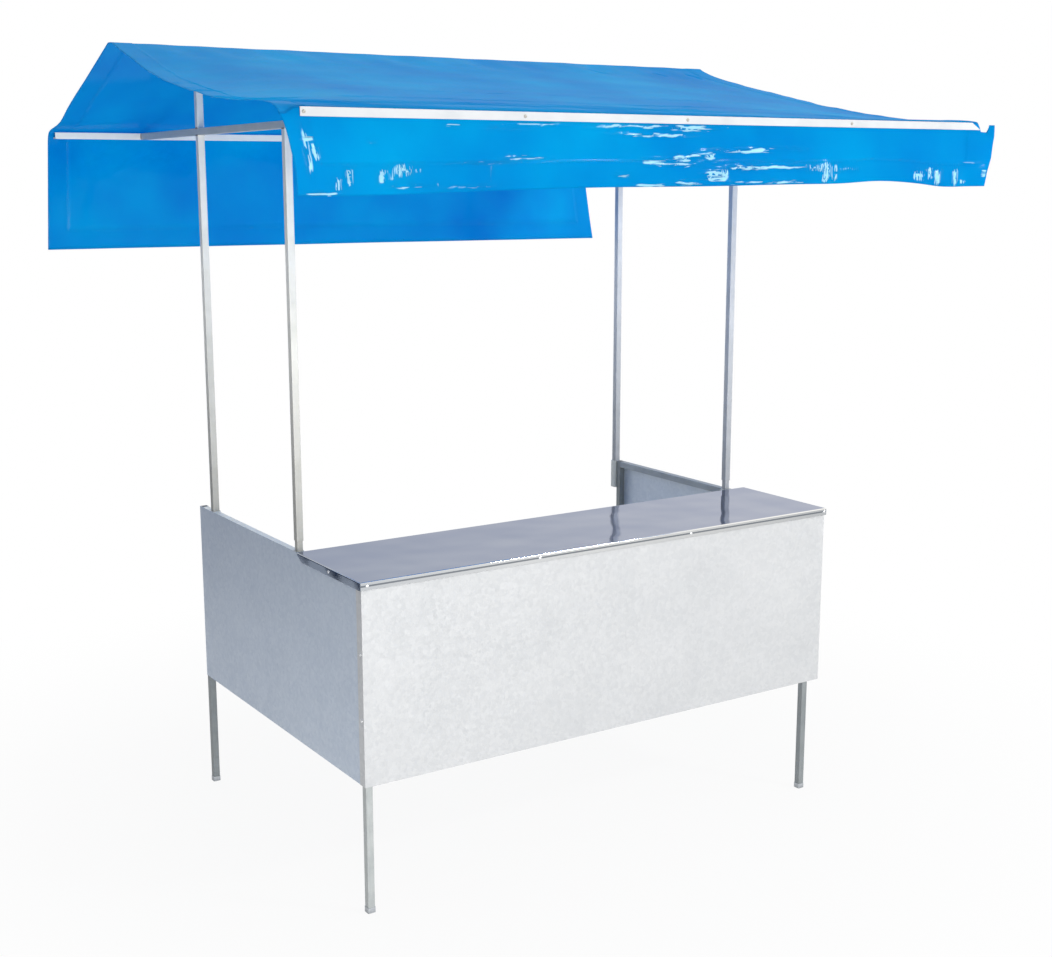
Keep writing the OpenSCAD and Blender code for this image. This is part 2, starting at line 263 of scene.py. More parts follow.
def tube_finish(name, stretch, light, dark, metallic, foot=1.0):
    """Rolled zinc-coated tube whose lines run the way that stretch has its small share.

    foot is the share of the colour that is left down at the counter, as painted shade.
    """
    material, made, at = finish_material(name)
    drawn = add_node(made, "ShaderNodeMapping", {"Scale": stretch}, {"Vector": at})
    lines = add_node(made, "ShaderNodeTexNoise", {"Scale": 1000 / line_mm, "Detail": 2.0},
                     {"Vector": drawn.outputs[0]})
    patches = add_node(made, "ShaderNodeTexNoise", {"Scale": 1000 / patch_mm, "Detail": 5.0,
                                                    "Roughness": 0.65}, {"Vector": at})
    both = add_node(made, "ShaderNodeMath", {1: 0.4}, {0: lines.outputs["Fac"],
                                                       2: patches.outputs["Fac"]},
                    operation="MULTIPLY_ADD")
    metal = add_node(made, "ShaderNodeValToRGB", None, {0: both.outputs[0]})
    for stop, share, colour in zip(metal.color_ramp.elements, (0.45, 0.95), (dark, light)):
        stop.position, stop.color = share, paint(colour)
    # Painted shade: the colour darkens from 1.6 m down to 0.9 m, to the share foot of itself
    height = add_node(made, "ShaderNodeSeparateXYZ", None, {0: at}).outputs["Z"]
    lower = add_node(made, "ShaderNodeMapRange", {"From Min": 0.9, "From Max": 1.6,
                                                  "To Min": foot, "To Max": 1.0},
                     {"Value": height})
    metal = add_node(made, "ShaderNodeMix", {"Factor": 1.0},
                     {"A": metal.outputs[0], "B": lower.outputs[0]},
                     data_type="RGBA", blend_type="MULTIPLY")
    rough = add_node(made, "ShaderNodeMapRange", {"From Min": 0.3, "From Max": 0.7,
                                                  "To Min": 0.34, "To Max": 0.50},
                     {"Value": patches.outputs["Fac"]})
    ridges = add_node(made, "ShaderNodeBump", {"Strength": 0.12, "Distance": 0.0002},
                      {"Height": lines.outputs["Fac"]})
    end_finish(made, {"Metallic": metallic},
               {"Base Color": metal.outputs["Result"], "Roughness": rough.outputs[0],
                "Normal": ridges.outputs[0]})
    return material


along_x, along_y, along_z = (0.02, 1, 1), (1, 0.02, 1), (1, 1, 0.02)
# One tube in several tones: the darker copies (the arms, the legs, the right-hand posts and top
# rails) are painted shade for the places they stand in
tube = {part: tube_finish(f"galvanised_tube_{part}", *look) for part, look in {
    "upright": (along_z, "#F3F2EB", "#E1E1D9", 0.12, 0.45),
    "upright_shaded": (along_z, "#CCD0D6", "#B6BBC2", 0.3, 0.6),
    "rail_shaded": (along_y, "#9AA3AB", "#848D96", 0.3),
    "socket": (along_z, "#CED1CE", "#B8BCBA", 0.3),
    "leg": (along_z, "#BABEBD", "#A0A5A5", 0.3),
    "leg_shaded": (along_z, "#8E9395", "#7A8082", 0.3),
    "across": (along_x, "#DCDEDC", "#C6CAC9", 0.3),
    "arm": (along_y, "#CDD0CD", "#B5BAB8", 0.12),
    "front_to_back": (along_y, "#E4E7E4", "#CCD1CF", 0.12),
}.items()}
# The right-hand posts and all legs but the front left one take the copies painted darker as shade
for side in ("left", "right"):
    for end in ("front", "back"):
        at_corner = (end, side) == ("front", "left")
        coat_node(f"{end}_{side}_leg", tube["leg" if at_corner else "leg_shaded"])
        coat_node(f"{end}_{side}_post", tube["upright" if side == "left" else "upright_shaded"])
        coat_node(f"{end}_{side}_socket", tube["socket"])
    coat_node(f"{side}_king_post", tube["upright"])
    coat_node(f"{side}_arm", tube["arm"])
    coat_node(f"{side}_bottom_rail", tube["front_to_back"])
for part, rails in (
        ("front_to_back", ("left_top_rail_front", "left_top_rail_middle", "left_top_rail_back")),
        ("rail_shaded", ("right_top_rail_front", "right_top_rail_middle")),
        ("across", ("front_top_rail", "front_bottom_rail", "counter_back_rail"))):
    for rail in rails:
        coat_node(rail, tube[part])

# --------------------------------------
# Roof bars: the same square tube, brush-painted white, as is the flat batten
# outside. The strokes leave faint ridges, and the gloss is soft and a little soiled.
stroke_mm = 2.5
soiling_mm = 90


def enamel_finish(name, soiled, clean):
    """Brush-painted enamel between those two colours, with its strokes along the bar."""
    material, made, at = finish_material(name)
    brushed = add_node(made, "ShaderNodeMapping", {"Scale": along_x}, {"Vector": at})
    strokes = add_node(made, "ShaderNodeTexNoise", {"Scale": 1000 / stroke_mm, "Detail": 2.0},
                       {"Vector": brushed.outputs[0]})
    soiling = add_node(made, "ShaderNodeTexNoise", {"Scale": 1000 / soiling_mm, "Detail": 4.0},
                       {"Vector": at})
    enamel = add_node(made, "ShaderNodeValToRGB", None, {0: soiling.outputs["Fac"]})
    for stop, share, colour in zip(enamel.color_ramp.elements, (0.3, 0.6), (soiled, clean)):
        stop.position, stop.color = share, paint(colour)
    stroke_bump = add_node(made, "ShaderNodeBump", {"Strength": 0.25, "Distance": 0.0003},
                           {"Height": strokes.outputs["Fac"]})
    end_finish(made, {"Roughness": 0.38},
               {"Base Color": enamel.outputs[0], "Normal": stroke_bump.outputs[0]})
    return material


# The batten has the bars' white paint, drawn greyer as painted shade
white_paint = enamel_finish("white_enamel_on_tube", "#F5F3EC", "#FCFAF2")
for bar in ("ridge_bar", "front_eave_bar", "back_eave_bar"):
    coat_node(bar, white_paint)
coat_node("front_batten", enamel_finish("white_enamel_painted_shade", "#B8BCC0", "#C3C6C9"))

# --------------------------------------
# Feet: pressed steel caps pushed over the legs' ends, zinc-plated and scuffed
# dark where they drag on the ground.
scuff_mm = 6
cap_metal, tree, place = finish_material("zinc_plated_cap")
height = add_node(tree, "ShaderNodeSeparateXYZ", None, {0: place})
scuffs = add_node(tree, "ShaderNodeTexNoise", {"Scale": 1000 / scuff_mm, "Detail": 6.0},
                  {"Vector": place})
low_down = add_node(tree, "ShaderNodeMapRange", {"From Min": 0.0, "From Max": 0.012,
                                                 "To Min": 0.75, "To Max": 0.1},
                    {"Value": height.outputs["Z"]})
worn = add_node(tree, "ShaderNodeMath", None, {0: scuffs.outputs["Fac"], 1: low_down.outputs[0]},
                operation="MULTIPLY")
cap_colour = add_node(tree, "ShaderNodeMix", {"A": paint("#B4B8BC"), "B": paint("#5E6166")},
                      {"Factor": worn.outputs[0]}, data_type="RGBA")
scuff_bump = add_node(tree, "ShaderNodeBump", {"Strength": 0.4, "Distance": 0.0005},
                      {"Height": scuffs.outputs["Fac"]})
end_finish(tree, {"Metallic": 0.6, "Roughness": 0.45},
           {"Base Color": cap_colour.outputs["Result"], "Normal": scuff_bump.outputs[0]})
for side in ("left", "right"):
    for end in ("front", "back"):
        coat_node(f"{end}_{side}_foot", cap_metal)

# --------------------------------------
# Counter top: polished stainless steel sheet, folded down at its front and
# ends. It mirrors the posts, its slight dents make what it mirrors wander, and
# its glancing reflections are a little darker and bluer.
dent_mm = 170
polish_mm = 1.2
smear_mm = 240
polished_steel, tree, place = finish_material("polished_stainless_steel")
dents = add_node(tree, "ShaderNodeTexNoise", {"Scale": 1000 / dent_mm, "Detail": 1.0},
                 {"Vector": place})
polish_way = add_node(tree, "ShaderNodeMapping", {"Scale": (0.01, 1, 1)}, {"Vector": place})
polish = add_node(tree, "ShaderNodeTexNoise", {"Scale": 1000 / polish_mm, "Detail": 2.0},
                  {"Vector": polish_way.outputs[0]})
smears = add_node(tree, "ShaderNodeTexNoise", {"Scale": 1000 / smear_mm, "Detail": 5.0},
                  {"Vector": place})
gloss = add_node(tree, "ShaderNodeMapRange", {"From Min": 0.35, "From Max": 0.7,
                                              "To Min": 0.03, "To Max": 0.08},
                 {"Value": smears.outputs["Fac"]})

# Painted reflection and shade: the sheet is painted lighter towards the right and its rim below
# the fold painted darker there, its folded ends are painted dark, and a dark band is painted under
# the fold's corner
top_low, top_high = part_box("counter_top")
middle_x, half_top = (top_low.x + top_high.x) / 2, (top_high.x - top_low.x) / 2
dark_band_z = top_high.z - 0.0095
spot = add_node(tree, "ShaderNodeSeparateXYZ", None, {0: place})
# Painted light: lighter towards the right, mixed with the smears
painted_light_rightward = add_node(tree, "ShaderNodeMapRange", {"From Min": top_low.x, "From Max": top_high.x,
                                                  "To Max": 0.95}, {"Value": spot.outputs["X"]})
smears_and_painted_light = add_node(tree, "ShaderNodeMath", {1: 0.3}, {0: smears.outputs["Fac"],
                                                       2: painted_light_rightward.outputs[0]},
                     operation="MULTIPLY_ADD")
steel = add_node(tree, "ShaderNodeMix", {"A": paint("#C6CBD1"), "B": paint("#FFFDF8")},
                 {"Factor": smears_and_painted_light.outputs[0]}, data_type="RGBA")
# A dark band under the fold's corner, painted as shade and reflection
dark_band_painted = add_node(tree, "ShaderNodeMath", {1: dark_band_z, 2: 0.0022}, {0: spot.outputs["Z"]},
                  operation="COMPARE")
dark_band_painted = add_node(tree, "ShaderNodeMath", {1: 0.75}, {0: dark_band_painted.outputs[0]}, operation="MULTIPLY")
aside = add_node(tree, "ShaderNodeMath", {1: middle_x}, {0: spot.outputs["X"]},
                 operation="SUBTRACT")
aside = add_node(tree, "ShaderNodeMath", None, {0: aside.outputs[0]}, operation="ABSOLUTE")
# The folded ends, painted dark as reflection and shade
at_end = add_node(tree, "ShaderNodeMapRange", {"From Min": half_top - 0.0016,
                                               "From Max": half_top - 0.0012},
                  {"Value": aside.outputs[0]})
below = add_node(tree, "ShaderNodeMapRange", {"From Min": top_high.z - 0.0020,
                                              "From Max": top_high.z - 0.0030},
                 {"Value": spot.outputs["Z"]})
ends_painted_dark = add_node(tree, "ShaderNodeMath", None, {0: at_end.outputs[0], 1: below.outputs[0]},
                      operation="MULTIPLY")
# The rim below the fold, painted darker towards the right as shade
rim_painted_shade = add_node(tree, "ShaderNodeMapRange", {"From Min": -0.3, "From Max": top_high.x,
                                                 "To Min": 0.15, "To Max": 0.8},
                    {"Value": spot.outputs["X"]})
rim_painted_shade = add_node(tree, "ShaderNodeMath", None, {0: rim_painted_shade.outputs[0], 1: below.outputs[0]},
                    operation="MULTIPLY")
for share, dark in ((rim_painted_shade, "#A4A9AE"), (dark_band_painted, "#5C646F"), (ends_painted_dark, "#8A929C")):
    steel = add_node(tree, "ShaderNodeMix", {"B": paint(dark)},
                     {"Factor": share.outputs[0], "A": steel.outputs["Result"]},
                     data_type="RGBA")
dent_bump = add_node(tree, "ShaderNodeBump", {"Strength": 1.0, "Distance": 0.004},
                     {"Height": dents.outputs["Fac"]})
polish_bump = add_node(tree, "ShaderNodeBump", {"Strength": 0.12, "Distance": 0.0002},
                       {"Height": polish.outputs["Fac"], "Normal": dent_bump.outputs[0]})
end_finish(tree, {"Metallic": 1.0, "Specular Tint": paint("#A4ABC0")},
           {"Base Color": steel.outputs["Result"], "Roughness": gloss.outputs[0],
            "Normal": polish_bump.outputs[0]})
coat_node("counter_top", polished_steel)

# --------------------------------------
# Blind rivets: aluminium, 4 mm, with domed heads 8 mm across. They hold the
# counter top's rim and the front sheet's folded ends.


def grid_quads(rows, columns, copies=1):
    """Quads between neighbours of a grid stored row by row, once for each of its copies."""
    first = (np.arange(rows - 1)[:, None] * columns + np.arange(columns - 1)[None, :]).ravel()
    quads = np.stack([first, first + 1, first + columns + 1, first + columns], axis=1)
    return (np.arange(copies)[:, None, None] * rows * columns + quads[None]).reshape(-1, 4)


def make_piece(name, points, quads, material, slot):
    """A smooth mesh piece that rides on the stall, with doubled points merged."""
    mesh = bpy.data.meshes.new(name)
    mesh.from_pydata(points.reshape(-1, 3).tolist(), [], quads.tolist())
    work = bmesh.new()
    work.from_mesh(mesh)
    bmesh.ops.remove_doubles(work, verts=work.verts, dist=1e-6)
    bmesh.ops.recalc_face_normals(work, faces=work.faces)
    work.to_mesh(mesh)
    work.free()
    mesh.polygons.foreach_set("use_smooth", np.ones(len(mesh.polygons), bool))
    mesh.materials.append(material)
    piece = bpy.data.objects.new(name, mesh)
    scene.collection.objects.link(piece)
    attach(piece, "root")
    return piece


def turned_heads(name, centres, outwards, profile, material, slot, sides=24):
    """Copies of one turned head: each (radius, height) of the profile swept round outwards."""
    radius, rise = np.array(profile).T
    angle = np.linspace(0, 2 * np.pi, sides + 1)
    out = np.array(outwards, float)
    one = np.cross(out, (0.0, 0.0, 1.0) if abs(out[2]) < 0.9 else (1.0, 0.0, 0.0))
    other = np.cross(out, one)
    ring = np.cos(angle)[:, None] * one + np.sin(angle)[:, None] * other
    head = radius[:, None, None] * ring + rise[:, None, None] * out
    points = np.array(centres, float)[:, None, None, :] + head[None]
    quads = grid_quads(len(profile), sides + 1, len(centres))
    return make_piece(name, points, quads, material, slot)


def worked_metal(name, mottle_mm, detail, tones, relief, metallic, roughness):
    """Bare metal mottled between two tones; relief is the mottle's share and depth in metres."""
    material, made, at = finish_material(name)
    mottle = add_node(made, "ShaderNodeTexNoise", {"Scale": 1000 / mottle_mm, "Detail": detail},
                      {"Vector": at})
    colour = add_node(made, "ShaderNodeMix", {"A": paint(tones[0]), "B": paint(tones[1])},
                      {"Factor": mottle.outputs["Fac"]}, data_type="RGBA")
    bump = add_node(made, "ShaderNodeBump", {"Strength": relief[0], "Distance": relief[1]},
                    {"Height": mottle.outputs["Fac"]})
    end_finish(made, {"Metallic": metallic, "Roughness": roughness},
               {"Base Color": colour.outputs["Result"], "Normal": bump.outputs[0]})
    return material


# Drawn aluminium stays bright, with fine nicks from the riveting tool
rivet_metal = worked_metal("drawn_aluminium_rivet", 1.5, 4.0, ("#D2D4D6", "#F4F4F4"),
                           (0.2, 0.0003), 0.85, 0.25)
head_radius = 0.004
dome_rise = 0.0012


def domed_head(recess, flat, skirt):
    """Radius and height from the middle out: the recess, then a quarter of an oval that
    falls from the radius flat to the head's own, and a straight skirt below it."""
    return recess + [(flat + (head_radius - flat) * math.sin(a), skirt + dome_rise * math.cos(a))
                     for a in np.linspace(0, np.pi / 2, 8)] + [(head_radius, 0.0)]


# The recess is the pulled stem's dimple
rivet_profile = domed_head([(0.0, 0.0009), (0.0008, 0.0009), (0.0011, 0.0016)], 0.0012, 0.0005)

panel_low, panel_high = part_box("front_panel")
rivet_inset = 0.0190
rivet_inset_right = 0.008
rim_front = np.linspace(top_low.x + rivet_inset, top_high.x - rivet_inset_right, 4)
side_rivet_y = top_low.y + 0.17
flange_rivet_y = panel_low.y + 0.011
flange_rivet_z = (0.501, 0.669)
turned_heads("rim_front_rivets", [(x, top_low.y, dark_band_z) for x in rim_front],
             (0, -1, 0), rivet_profile, rivet_metal, "polished_sheet")
for side, x, way_out in (("left", top_low.x, -1), ("right", top_high.x, 1)):
    turned_heads(f"rim_{side}_rivets", [(x, side_rivet_y, dark_band_z)],
                 (way_out, 0, 0), rivet_profile, rivet_metal, "polished_sheet")
for side, x, way_out in (("left", panel_low.x, -1), ("right", panel_high.x, 1)):
    turned_heads(f"flange_{side}_rivets", [(x, flange_rivet_y, z) for z in flange_rivet_z],
                 (way_out, 0, 0), rivet_profile, rivet_metal, "galvanised_sheet")

# --------------------------------------
# Weld beads: MIG welds where rails meet legs and sockets, and where the arms lie
# on the posts and butt against the eave bars.
bead_radius = 0.0019
bead_inset = 0.002
ripple_mm = 1.6
tube_side = 0.019


def bead_surface(beads):
    """Rippled rods between each bead's two ends: a circle carried along the line, its
    radius a half oval that closes at both ends, times one plus a small sine."""
    starts, ends = np.array(beads, float).transpose(1, 0, 2)
    share = (1 - np.cos(np.linspace(0, np.pi, 25))) / 2
    angle = np.linspace(0, 2 * np.pi, 9)
    line = ends - starts
    long = np.linalg.norm(line, axis=1, keepdims=True)
    way = line / long
    aside = np.cross(way, np.where(np.abs(way[:, 2:]) < 0.9, (0.0, 0.0, 1.0), (1.0, 0.0, 0.0)))
    other = np.cross(way, aside)
    oval = np.sqrt(np.clip(1 - np.abs(2 * share - 1) ** 6, 0, None))
    radius = bead_radius * oval * (1 + 0.12 * np.sin(2 * np.pi * share * long * 1000 / ripple_mm))
    ring = (np.cos(angle)[:, None] * aside[:, None] + np.sin(angle)[:, None] * other[:, None])
    middle = starts[:, None] + share[None, :, None] * line[:, None]
    points = middle[:, :, None] + radius[:, :, None, None] * ring[:, None]
    return points, grid_quads(len(share), len(angle), len(beads))


beads = []
rails_back = ("left_bottom_rail", "right_bottom_rail", "left_top_rail_front",
              "left_top_rail_middle", "left_top_rail_back", "right_top_rail_front",
              "right_top_rail_middle")
for rail in rails_back:
    low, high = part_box(rail)
    for y in (low.y, high.y):
        beads.append(((low.x + bead_inset, y, low.z), (high.x - bead_inset, y, low.z)))
for rail in ("front_top_rail", "front_bottom_rail", "counter_back_rail"):
    low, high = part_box(rail)
    for x in (low.x, high.x):
        beads.append(((x, low.y + bead_inset, low.z), (x, high.y - bead_inset, low.z)))
for side in ("left", "right"):
    arm_low, arm_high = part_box(f"{side}_arm")
    fall = (arm_high.z - arm_low.z - tube_side) / (arm_high.y - arm_low.y)
    for upright in (f"front_{side}_post", f"back_{side}_post", f"{side}_king_post"):
        low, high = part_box(upright)
        arm_face = arm_high.z if upright.endswith("king_post") else arm_high.z - tube_side
        at_front = arm_face - fall * (low.y - arm_low.y)
        at_back = at_front - fall * (high.y - low.y)
        for x in (low.x, high.x):
            beads.append(((x, low.y + bead_inset, at_front), (x, high.y - bead_inset, at_back)))
    for y, top in ((arm_low.y, arm_high.z), (arm_high.y, arm_low.z + tube_side)):
        for x in (arm_low.x, arm_high.x):
            beads.append(((x, y, top - tube_side + bead_inset), (x, y, top - bead_inset)))

# Welding leaves the steel brown and rippled like scales
weld_metal = worked_metal("weld_bead_steel", 4, 4.0, ("#6E6259", "#B6ADA4"),
                          (0.4, 0.0004), 0.5, 0.5)
make_piece("weld_beads", *bead_surface(beads), weld_metal, "galvanised_tube")

# --------------------------------------
# Batten screws: zinc-plated pan heads with a dished middle, driven through the
# batten and the tarp into the front eave bar.
# Zinc plating is a soft grey that yellows as it tarnishes
screw_metal = worked_metal("zinc_plated_screw", 2, 5.0, ("#8B8D90", "#B9B5A8"),
                           (0.0, 0.0003), 0.8, 0.4)
batten_low, batten_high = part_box("front_batten")
screw_x = (-0.984, -0.451, 0.007, 0.543)
pan_profile = domed_head([(0.0, 0.0004), (0.0009, 0.0006), (0.0012, 0.0017)], 0.0014, 0.0006)
batten_middle = (batten_low.z + batten_high.z) / 2
turned_heads("batten_screws", [(x, batten_low.y, batten_middle) for x in screw_x],
             (0, -1, 0), pan_profile, screw_metal, "galvanised_tube")

# --------------------------------------
# Tarp: one sheet of blue PVC-coated polyester, hemmed all round and hung over
# the ridge and the two eave bars. The batten clamps it in front; the ends that
# hang down are the valances.
cloth_width = 2.066
cloth_thick = 0.001
hem_width = 0.060
hem_step = 0.0009
hem_edge = 0.002

front_high, back_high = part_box("front_eave_bar")[1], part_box("back_eave_bar")[1]
ridge_low, ridge_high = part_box("ridge_bar")
lift = 0.0003 + cloth_thick
front_y = batten_high.y
back_y = back_high.y + lift
front_bottom = 1.775
back_bottom = 1.580
section = np.array([
    (front_y, front_bottom), (front_y, front_high.z + lift),
    (ridge_low.y, ridge_high.z + lift), (ridge_high.y, ridge_high.z + lift),
    (back_y, back_high.z + lift), (back_y, back_bottom),
])
stretch = np.linalg.norm(np.diff(section, axis=0), axis=1)
bend_at = np.concatenate([[0], np.cumsum(stretch)])
cloth_length = bend_at[-1]
front_bend, ridge_bend, ridge_behind, back_bend = bend_at[1:5]


def smooth_step(value, low, high):
    """0 below low, 1 above high, and a smooth S between them."""
    t = np.clip((value - low) / (high - low), 0, 1)
    return t * t * (3 - 2 * t)


def bell(value, middle, width):
    """1 at middle, falling to nothing about two widths away."""
    return np.exp(-((value - middle) / width) ** 2)


def waves(value, lengths, starts):
    """Sum of sine waves of those lengths, each starting at its own place."""
    return sum(np.sin(2 * np.pi * value / one + start) for one, start in zip(lengths, starts))


def through(at, places, values):
    """A smooth curve through the values at those places.

    Between two places it is a cubic whose end slopes come from the neighbouring values.
    """
    places, values = np.array(places, float), np.array(values, float)
    slopes = np.gradient(values, places)
    i = np.clip(np.searchsorted(places, at) - 1, 0, len(places) - 2)
    gap = places[i + 1] - places[i]
    t = np.clip((at - places[i]) / gap, 0, 1)
    return (values[i] * (1 - t) ** 2 * (1 + 2 * t) + values[i + 1] * t * t * (3 - 2 * t)
            + gap * t * (1 - t) * (slopes[i] * (1 - t) - slopes[i + 1] * t))


def along_section(s, rounding):
    """The section's point at length s, as the mean over a stretch of plus or minus rounding."""
    y = np.zeros(np.broadcast(s, rounding).shape)
    z = np.zeros_like(y)
    taps = np.linspace(-1, 1, 9)
    weight = 1 - 0.6 * taps ** 2
    for tap, share_of_tap in zip(taps, weight / weight.sum()):
        at = s + tap * rounding
        y += share_of_tap * np.interp(at, bend_at, section[:, 0])
        z += share_of_tap * np.interp(at, bend_at, section[:, 1])
        z -= share_of_tap * np.clip(-at, 0, None)
        z += share_of_tap * np.clip(cloth_length - at, None, 0)
    return y, z


# Where the side edges lie, from the front hem round to the back one; past the front
# eave bar's right end the valance's stiff edge stands out by the tab's width
half_width = cloth_width / 2
left_at = [0, 0.055, 0.105, front_bend, ridge_bend, ridge_bend + 0.42, back_bend, cloth_length]
left_edge = [-1.004, -1.007, -1.019, -1.035, -0.975, -1.007, -1.015, -1.035]
right_at = [0, front_bend, ridge_bend, back_bend, back_bend + 0.26, cloth_length]
right_edge = [1.033, 1.033, 1.020, 0.866, 0.914, 0.930]
tab_at = [0, 0.034, 0.073, 0.128, front_bend + 0.004, front_bend + 0.060]
tab_out = [0, 0.011, 0.034, 0.053, 0.053, 0]
bar_end = 1.0

# How far the left edge sags on the front slope, from the eave up to the ridge, and on
# the back slope, from the ridge down; and how high the front hem hangs along the front
edge_up = [0, 0.044, 0.084, 0.18, 0.35, 0.5, 0.72, 0.86, 1]
edge_sag = [0, 0.002, 0.0045, 0.019, 0.037, 0.042, 0.038, 0.019, 0]
edge_down = [0, 0.32, 0.64, 0.8, 0.9, 1]
edge_sag_back = [0, 0.008, 0.014, 0.022, 0.012, 0]
hem_along = [-1.033, -0.95, -0.85, -0.60, -0.30, 0.10, 0.35, 0.50, 0.66, 0.80, 0.86, 1.033]
hem_rise = [-0.018, -0.019, -0.018, -0.012, -0.006, -0.004, -0.001, 0, 0.006, -0.002, -0.008,
            -0.009]

# Depths in metres: how far the slopes hang hollow between their edges, how far the
# right edge does, how much the cloth drops past the front bar's left and right ends and
# behind the right one, how high the tab stands, how far the front hem's right end leans
# out, how much lower the back hem hangs at the right, and how high a crease stands
front_hollow, back_hollow, right_hollow = 0.027, 0.006, 0.035
left_drop, right_drop, right_droop = 0.011, 0.021, 0.030
tab_height, corner_lean, back_fall, crease_height = 0.026, 0.020, 0.012, 0.0012

# Creases on the front valance, left by the folded pack and by handling: place along
# and up, half length and half height, and how sharp it is. Level ones first.
level_creases = [
    (-0.990, 0.103, 0.011, 0.005, 1.3), (-0.975, 0.003, 0.030, 0.005, 1.0),
    (-0.760, 0.015, 0.040, 0.005, 0.8), (-0.605, 0.010, 0.055, 0.004, 0.6),
    (-0.562, 0.056, 0.065, 0.004, 0.5), (-0.636, 0.130, 0.016, 0.005, 0.7),
    (-0.841, 0.098, 0.008, 0.006, 0.4), (-0.455, 0.066, 0.045, 0.004, 0.9),
    (-0.500, 0.126, 0.050, 0.006, 0.3), (-0.420, 0.135, 0.050, 0.004, 0.7),
    (-0.110, 0.133, 0.140, 0.004, 0.9), (0.020, 0.131, 0.050, 0.007, 1.1),
    (-0.090, 0.115, 0.085, 0.004, 1.0), (-0.090, 0.056, 0.030, 0.007, 0.9),
    (-0.035, 0.049, 0.045, 0.005, 1.0), (-0.010, 0.063, 0.025, 0.008, 1.0),
    (0.040, 0.070, 0.030, 0.005, 1.0), (0.078, 0.070, 0.014, 0.010, 1.1),
    (0.170, 0.080, 0.080, 0.005, 1.0), (0.290, 0.086, 0.070, 0.005, 0.6),
    (0.095, 0.023, 0.028, 0.016, 1.3), (0.195, 0.041, 0.060, 0.006, 1.1),
    (0.310, 0.042, 0.090, 0.006, 0.8), (-0.178, 0.027, 0.018, 0.005, 1.0),
    (-0.098, 0.004, 0.036, 0.005, 1.0), (0.010, 0.006, 0.038, 0.005, 1.1),
    (0.260, 0.006, 0.120, 0.004, 0.9), (0.980, 0.060, 0.018, 0.005, 0.5),
    (1.022, 0.032, 0.008, 0.010, 0.8),
]
upright_creases = [
    (-0.997, 0.080, 0.008, 0.040, 0.7), (-0.982, 0.078, 0.012, 0.014, 1.0),
    (-0.935, 0.020, 0.012, 0.012, 0.7), (-0.908, 0.034, 0.009, 0.014, 1.2),
    (-0.826, 0.034, 0.009, 0.011, 1.2), (-0.804, 0.038, 0.009, 0.012, 0.6),
    (-0.772, 0.046, 0.018, 0.016, 1.0), (-0.735, 0.045, 0.009, 0.007, 0.6),
    (-0.688, 0.014, 0.009, 0.008, 0.5), (-0.544, 0.040, 0.009, 0.016, 0.5),
    (0.425, 0.040, 0.025, 0.010, 0.9), (0.462, 0.028, 0.014, 0.022, 1.2),
    (0.490, 0.028, 0.010, 0.020, 0.9), (0.535, 0.036, 0.032, 0.006, 0.5),
    (0.790, 0.020, 0.018, 0.016, 1.0), (0.830, 0.028, 0.012, 0.014, 1.0),
    (0.862, 0.022, 0.014, 0.018, 1.0), (0.935, 0.024, 0.012, 0.020, 1.0),
    (0.960, 0.012, 0.015, 0.007, 0.8), (0.118, 0.030, 0.014, 0.012, 0.9),
]


def crease_patch(w, s, creases):
    """The creases' soft patches, each a bell along times a bell up, and the sharpest wins.

    The bell of the longer direction is raised and cut off at 1, and slow waves bend it.
    """
    patch = np.zeros_like(w)
    bent = s + 0.0011 * waves(w, (0.061, 0.037), (0.3, 1.1))
    for at, up, half_long, half_high, sharp in creases:
        level_part, upright_part = bell(w, at, half_long), bell(bent, up, half_high)
        if half_long > half_high:
            level_part = np.minimum(1.9 * level_part, 1)
        else:
            upright_part = np.minimum(1.9 * upright_part, 1)
        patch = np.maximum(patch, sharp * level_part * upright_part ** 1.4)
    return patch


